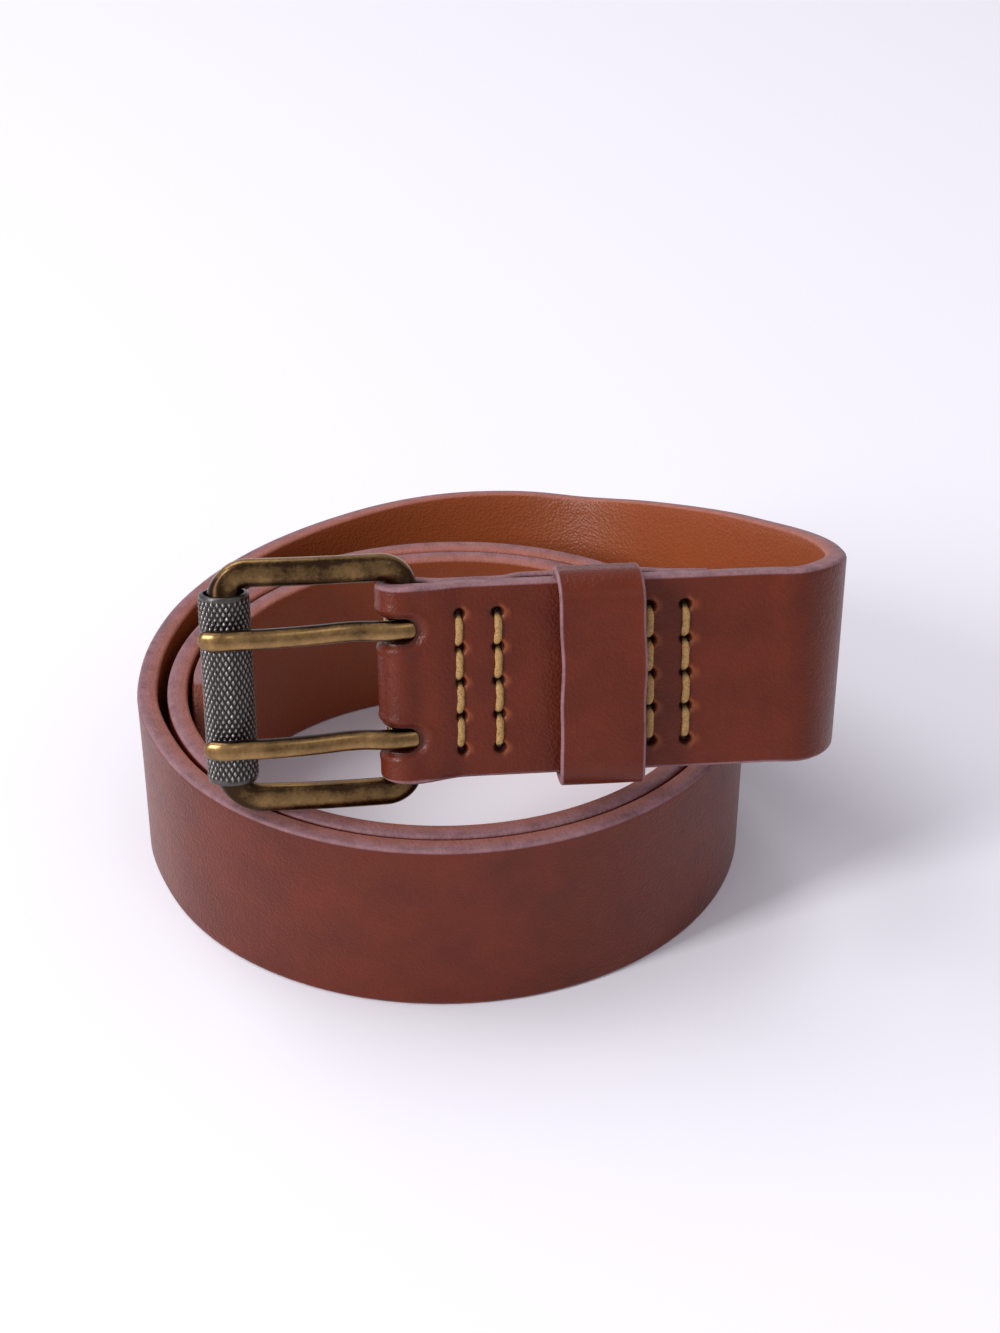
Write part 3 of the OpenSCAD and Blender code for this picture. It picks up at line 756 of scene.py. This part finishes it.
def prong_grid(centre):
    """A prong: a rounded section carried round the bar and out along a gentle S to its tip,
    which bends down round the roller. The middle line is a Catmull-Rom curve."""
    rest = ROLLER_R + PRONG_T / 2 + 0.15
    around = np.radians(np.arange(214, -89, -16.0))
    ring_r = BAR_R + 0.1 + 0.95
    hook = np.column_stack([ring_r * np.cos(around), ring_r * np.sin(around),
                            np.full(len(around), 0.92)])
    hook[-3:, 2] = (1.0, 1.15, 1.4)
    hook[-3:, :2] *= np.array([[1.02], [1.06], [1.14]])
    shank = np.array([[-1.6, -4.35, 1.5], [-4, -4.5, 1.5], [-6.6, -4.15, 1.45], [-9.2, -3.7, 1.4],
                      [-12.5, -3.95, 1.42], [-17, -5.0, 1.45], [-22, -5.9, 1.5], [-28, -6.55, 1.5]])
    a = np.radians([-18, 0, 10, PRONG_WRAP - 24, PRONG_WRAP - 14])
    tip = np.column_stack([-BAR_SPAN - np.sin(a) * rest, -np.cos(a) * rest,
                           [1.5, 1.45, 1.42, 1.36, 1.28]])
    line = curve_through(np.vstack([hook, shank, tip]), 5)
    path = np.column_stack([line[:, 0], line[:, 1], np.zeros(len(line))])
    t = unit(np.gradient(path, axis=0))
    up = np.tile([0.0, 0.0, 1.0], (len(line), 1))
    side = np.cross(up, t)
    half_t = line[:, 2].copy()
    half_w = np.full(len(line), PRONG_W / 2)
    end = 9
    turn = np.linspace(0, np.pi / 2, end + 1)[1:]
    fade = np.cos(turn)
    # a round nose: the last rings shrink as a quarter circle
    nose = path[-1] + t[-1] * (np.sin(turn) * 2.1)[:, None]
    path = np.vstack([path, nose])
    side = np.vstack([side, np.tile(side[-1], (end, 1))])
    up = np.vstack([up, np.tile(up[-1], (end, 1))])
    half_t = np.append(half_t, half_t[-1] * np.maximum(fade, 0.02) ** 0.7)
    half_w = np.append(half_w, PRONG_W / 2 * np.maximum(fade, 0.02))
    ring = ellipse_ring(24, 2.7)
    profile = np.stack([ring[..., 0] * half_t[:, None], ring[..., 1] * half_w[:, None]], -1)
    grid = carry(path, side, up, profile)
    flat = grid.reshape(-1, 3)
    placed = in_buckle(flat[:, 0], flat[:, 1], flat[:, 2] + centre).reshape(grid.shape)
    crown = np.abs(ring[None, :, 0]) ** 3 * 0.6 + np.abs(ring[None, :, 0] * ring[None, :, 1]) ** 2
    return placed, np.broadcast_to(crown, grid.shape[:2]).copy()


def build_prongs(sizes, colours):
    """The two prongs, each turning on the bar."""
    material = made("antique brass, tumbled", brass_material, colours)
    for name, centre, body in (("prong_upper", PRONG_Z, "upper_prong"),
                               ("prong_lower", -PRONG_Z, "lower_prong")):
        grid, high = prong_grid(centre)
        verts, faces = closed_grid(grid)
        faces = turned_out(verts, faces)
        piece = new_piece("brass_" + name, verts, faces, material)
        high = np.append(high.ravel(), [0.6, 0.6])
        set_map(piece.data, "wear", np.stack([high, high], -1))
        belong(piece, body, "antique_brass", name)


def build_keeper(sizes, colours):
    """The keeper: a rounded strip section carried round a rounded rectangle, a little crowned."""
    width, thick = sizes.strap_width / MM, sizes.strap_thickness / MM
    y0, y1 = -thick - KEEPER_ROOM - KEEPER_T / 2, KEEPER_GAP + KEEPER_T / 2
    zt = width / 2 + KEEPER_GAP + KEEPER_T / 2
    r_front, r_back = 4.9, 2.6
    q = np.linspace(0, np.pi / 2, 14)

    def arc(cy, cz, r, start):
        return np.column_stack([cy + r * np.cos(start + q), cz + r * np.sin(start + q)])

    loop = np.vstack([
        np.column_stack([np.full(18, y1), np.linspace(0.06, zt - r_back, 19)[:-1]]),
        arc(y1 - r_back, zt - r_back, r_back, 0),
        np.column_stack([np.linspace(y1 - r_back, y0 + r_front, 7)[1:-1], np.full(5, zt)]),
        arc(y0 + r_front, zt - r_front, r_front, np.pi / 2),
        np.column_stack([np.full(58, y0), np.linspace(zt - r_front, -zt + r_front, 60)[1:-1]]),
        arc(y0 + r_front, -zt + r_front, r_front, np.pi),
        np.column_stack([np.linspace(y0 + r_front, y1 - r_back, 7)[1:-1], np.full(5, -zt)]),
        arc(y1 - r_back, -zt + r_back, r_back, 1.5 * np.pi),
        np.column_stack([np.full(18, y1), np.linspace(-zt + r_back, -0.06, 19)[1:]])])
    path = np.column_stack([np.zeros(len(loop)), loop])
    t = unit(np.gradient(path, axis=0))
    across = np.tile([1.0, 0.0, 0.0], (len(path), 1))
    out = np.cross(across, t)
    middle = path.mean(0)
    if np.einsum("ij,ij->i", out, path - middle).mean() < 0:
        out = -out
    half, r = KEEPER_W / 2, 0.72
    face = np.linspace(-half + r, half - r, 26)
    a = np.radians(np.linspace(0, 90, 6)[1:])
    b = np.radians(np.linspace(0, 90, 6))
    h = KEEPER_T / 2
    crown = 0.1 * (1 - (face / half) ** 2) - 0.1
    profile = np.vstack([
        np.column_stack([h + crown, face]),
        np.column_stack([h - r + r * np.cos(a), half - r + r * np.sin(a)]),
        np.column_stack([-h + r - r * np.sin(a), half - r + r * np.cos(a)]),
        np.column_stack([np.full(6, -h), np.linspace(half - r, -half + r, 8)[1:-1]]),
        np.column_stack([-h + r - r * np.cos(b), -half + r - r * np.sin(b)]),
        np.column_stack([h - r + r * np.sin(a[:-1]), -half + r - r * np.cos(a[:-1])])])
    grid = carry(path, out, across, np.repeat(profile[None], len(path), 0))
    # a soft wander of the edges, and hollows where the leather was pressed round the strap
    z = grid[..., 2]
    grid[..., 0] += 0.22 * np.sin(z / 6.1 + 0.7) + 0.1 * np.sin(z / 2.3)
    front = np.clip((-grid[..., 1] - thick) / 4, 0, 1)
    grid[..., 1] += front * 0.18 * np.sin(z / 5.2) * np.cos(grid[..., 0] / 5.0)
    flat = grid.reshape(-1, 3)
    x = flat[:, 0] + KEEPER_X + KEEPER_W / 2
    placed = in_buckle(x, flat[:, 1], flat[:, 2]).reshape(grid.shape)
    verts, faces = closed_grid(placed)
    faces = turned_out(verts, faces)
    material = made("vegetable-tanned leather, waxed", leather_material, colours, width)
    piece = new_piece("leather_keeper", verts, faces, material)
    side = width / 2 - KEEPER_W / 2 - 0.05
    edge = np.repeat((np.abs(profile[:, 1]) + side)[None], len(path), 0)
    edge[edge < width / 2 - 2.2] = 0
    both = np.stack([np.zeros_like(edge), edge], -1).reshape(-1, 2)
    set_map(piece.data, "across", np.vstack([both, np.full((2, 2), 0.0)]))
    set_map(piece.data, "marks", np.zeros((len(verts), 2)))
    return belong(piece, "keeper_loop", "keeper_leather", "keeper")


def thread_runs(x, y_face, outward, sizes, lift):
    """The runs of thread between a row's holes: each dives into its two holes, with a height
    over the face of -1.2 + (1.2 + lift) * ease(end / 0.17), bowed sideways as a half sine."""
    wide = sizes.thread_width / MM / 2
    t = np.linspace(0, 1, 30)
    shells = []
    for k, z0 in enumerate(hole_heights()[:-1]):
        z = z0 + 0.25 + (HOLE_PITCH - 0.5) * t
        end = np.minimum(t, 1 - t)
        height = -1.2 + (1.2 + lift) * ease(end / 0.17)
        bow = 0.3 * np.sin(np.pi * t) * (1 if k % 2 else 0.7) + 0.3 * (t - 0.5)
        path = np.column_stack([x + bow - 0.1, y_face + outward * height, z])
        tangent = unit(np.gradient(path, axis=0))
        out = unit(np.cross(tangent, np.tile([1.0, 0, 0], (30, 1))))
        side = np.cross(out, tangent)
        a = np.linspace(0, 2 * np.pi, 20, endpoint=False)
        turn = z[:, None] * 1.25 + k
        ply = 1 + 0.13 * np.abs(np.cos(a[None, :] - turn)) - 0.06
        slim = (0.72 + 0.28 * ease(end / 0.2))[:, None]
        profile = np.stack([
            np.cos(a) * wide * 0.62 * ply * slim, np.sin(a) * wide * ply * slim], -1)
        shells.append(closed_grid(carry(path, out, side, profile)))
    return shells


def build_stitches(sizes, colours):
    """Four rows of saddle stitches, on the front and on the back of the sewn layers."""
    material = made("waxed linen thread", thread_material, colours)
    thick = sizes.strap_thickness / MM
    for number, x in enumerate(ROW_NEAR + ROW_FAR, 1):
        back = float(under_y(np.array(x))) + SKIVED_T / 2
        shells = thread_runs(x, -thick, -1, sizes, 0.16) + thread_runs(x, back, 1, sizes, 0.3)
        verts, faces = join_shells(shells)
        placed = in_buckle(verts[:, 0], verts[:, 1], verts[:, 2])
        # painted shade: how deep each point lies below the leather's face, turned into a darkening
        deep = np.clip(-1.1 * (np.maximum(-verts[:, 1] - thick, verts[:, 1] - back)), 0, 0.85)
        piece = new_piece(f"thread_row_{number}", placed, faces, material)
        set_map(piece.data, "wear", np.stack([deep, deep], -1))
        belong(piece, "belt", "waxed_thread", f"stitch_row_{number}")


def build_staples():
    """The keeper's staples keep their CAD shape and get a plain steel finish."""
    material, _, _ = new_material("zinc-plated steel wire", Metallic=1.0, Roughness=0.35,
                                  Base_Color=linear("A9A8A6"))
    mesh = frame["nodes"]["keeper_staples"].data
    mesh.materials.clear()
    mesh.materials.append(material)


# ---------------------------------------------------------------- stage

CAMERA_AT = np.array([-35.79, -429.71, 317.45])
CAMERA_DOWN, CAMERA_TURN, CAMERA_ROLL = 33.03, -5.5, 0.41
SENSOR = 36.0
LENS = 2293.2 / 1333 * SENSOR
# name, place, aim, watts and size of each soft box
LIGHTS = (
    ("key soft box", (-1.1, 0.8, 2.0), (0.0, 0.0, 0.03), 27.0, (1.8, 1.5)),
    ("left strip box", (-1.3, -0.7, 0.8), (0.0, 0.0, 0.05), 19.0, (0.3, 0.9)),
    ("front soft box", (1.0, -1.7, 1.6), (0.0, 0.0, 0.04), 4.0, (1.0, 0.8)))


def add_light(name, place, aim, power, size, colour):
    """An area light that looks from its place to its aim."""
    data = bpy.data.lights.new(name, "AREA")
    data.energy = power
    data.shape = "RECTANGLE"
    data.size, data.size_y = size
    data.color = colour[:3]
    light = bpy.data.objects.new(name, data)
    bpy.context.scene.collection.objects.link(light)
    z = unit(np.array(place, float) - np.array(aim, float))
    x = unit(np.cross([0.0, 0.0, 1.0], z))
    place_object(light, x, np.cross(z, x), z, place)


def place_object(item, x, y, z, place):
    """Sets a light's or the camera's matrix from its axes and place."""
    matrix = [[float(x[i]), float(y[i]), float(z[i]), float(place[i])] for i in range(3)]
    item.matrix_world = Matrix(matrix + [[0.0, 0.0, 0.0, 1.0]])


def build_stage(colours):
    """Pale floor, pale surroundings, three soft boxes and the camera."""
    scene = bpy.context.scene
    material, _, _ = new_material("pale studio card", Roughness=0.75, Specular_IOR_Level=0.2,
                                  Base_Color=tuple(colours.floor))
    corners = [[-3000, -3000, 0], [3000, -3000, 0], [3000, 3000, 0], [-3000, 3000, 0]]
    new_piece("floor", corners, [[0, 1, 2, 3]], material, smooth=False)
    world = bpy.data.worlds.new("studio")
    world.use_nodes = True
    world.node_tree.nodes["Background"].inputs["Color"].default_value = linear("F2F0F8")
    world.node_tree.nodes["Background"].inputs["Strength"].default_value = 0.6
    scene.world = world
    white = linear("FFFFFF")
    for name, place, aim, power, size in LIGHTS:
        add_light(name, place, aim, power, size, white)
    e, turn, roll = (math.radians(v) for v in (CAMERA_DOWN, CAMERA_TURN, CAMERA_ROLL))
    flat = np.array([-math.sin(turn), math.cos(turn), 0.0])
    look = math.cos(e) * flat - math.sin(e) * np.array([0.0, 0.0, 1.0])
    right = np.array([math.cos(turn), math.sin(turn), 0.0])
    top = np.cross(right, look)
    c, s = math.cos(roll), math.sin(roll)
    data = bpy.data.cameras.new("camera")
    data.sensor_fit = "VERTICAL"
    data.sensor_height = SENSOR
    data.lens = LENS
    data.clip_start, data.clip_end = 0.01, 20.0
    camera = bpy.data.objects.new("camera", data)
    scene.collection.objects.link(camera)
    place_object(camera, c * right + s * top, c * top - s * right, -look, CAMERA_AT * MM)
    scene.camera = camera
    scene.view_settings.view_transform = "Standard"


# ---------------------------------------------------------------- operators and panel

class BELT_OT_strap(bpy.types.Operator):
    """Build the leather strap with its fold, slots, holes and roll"""

    bl_idname = "belt.strap"
    bl_label = "Strap"

    def execute(self, context):
        build_strap(context.scene.belt_sizes, context.scene.belt_colours)
        return {"FINISHED"}


class BELT_OT_frame(bpy.types.Operator):
    """Build the buckle's brass frame"""

    bl_idname = "belt.frame"
    bl_label = "Buckle frame"

    def execute(self, context):
        build_frame(context.scene.belt_sizes, context.scene.belt_colours)
        return {"FINISHED"}


class BELT_OT_roller(bpy.types.Operator):
    """Build the knurled roller"""

    bl_idname = "belt.roller"
    bl_label = "Roller"

    def execute(self, context):
        build_roller(context.scene.belt_sizes, context.scene.belt_colours)
        return {"FINISHED"}


class BELT_OT_prongs(bpy.types.Operator):
    """Build the two prongs"""

    bl_idname = "belt.prongs"
    bl_label = "Prongs"

    def execute(self, context):
        build_prongs(context.scene.belt_sizes, context.scene.belt_colours)
        return {"FINISHED"}


class BELT_OT_keeper(bpy.types.Operator):
    """Build the leather keeper and finish its staples"""

    bl_idname = "belt.keeper"
    bl_label = "Keeper"

    def execute(self, context):
        build_keeper(context.scene.belt_sizes, context.scene.belt_colours)
        build_staples()
        return {"FINISHED"}


class BELT_OT_stitches(bpy.types.Operator):
    """Build the four rows of stitches"""

    bl_idname = "belt.stitches"
    bl_label = "Stitches"

    def execute(self, context):
        build_stitches(context.scene.belt_sizes, context.scene.belt_colours)
        return {"FINISHED"}


class BELT_OT_stage(bpy.types.Operator):
    """Add the floor, the lights and the camera"""

    bl_idname = "belt.stage"
    bl_label = "Stage"

    def execute(self, context):
        build_stage(context.scene.belt_colours)
        return {"FINISHED"}


OPERATORS = (BELT_OT_strap, BELT_OT_frame, BELT_OT_roller, BELT_OT_prongs, BELT_OT_keeper,
             BELT_OT_stitches, BELT_OT_stage)


class BELT_PT_panel(bpy.types.Panel):
    """Lists the belt's sizes, colours and pieces"""

    bl_idname = "BELT_PT_panel"
    bl_label = "Belt"
    bl_space_type = "VIEW_3D"
    bl_region_type = "UI"
    bl_category = "Belt"

    def draw(self, context):
        for group in (context.scene.belt_sizes, context.scene.belt_colours):
            for name in group.__annotations__:
                self.layout.prop(group, name)
        for item in OPERATORS:
            self.layout.operator(item.bl_idname)


CLASSES = (BeltSizes, BeltColours) + OPERATORS + (BELT_PT_panel,)


def register():
    for item in CLASSES:
        bpy.utils.register_class(item)
    bpy.types.Scene.belt_sizes = bpy.props.PointerProperty(type=BeltSizes)
    bpy.types.Scene.belt_colours = bpy.props.PointerProperty(type=BeltColours)


def unregister():
    del bpy.types.Scene.belt_sizes
    del bpy.types.Scene.belt_colours
    for item in reversed(CLASSES):
        bpy.utils.unregister_class(item)


def main():
    """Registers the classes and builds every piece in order."""
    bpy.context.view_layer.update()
    register()
    for name in ("strap", "frame", "roller", "prongs", "keeper", "stitches", "stage"):
        getattr(bpy.ops.belt, name)()


if __name__ == "__main__":
    main()
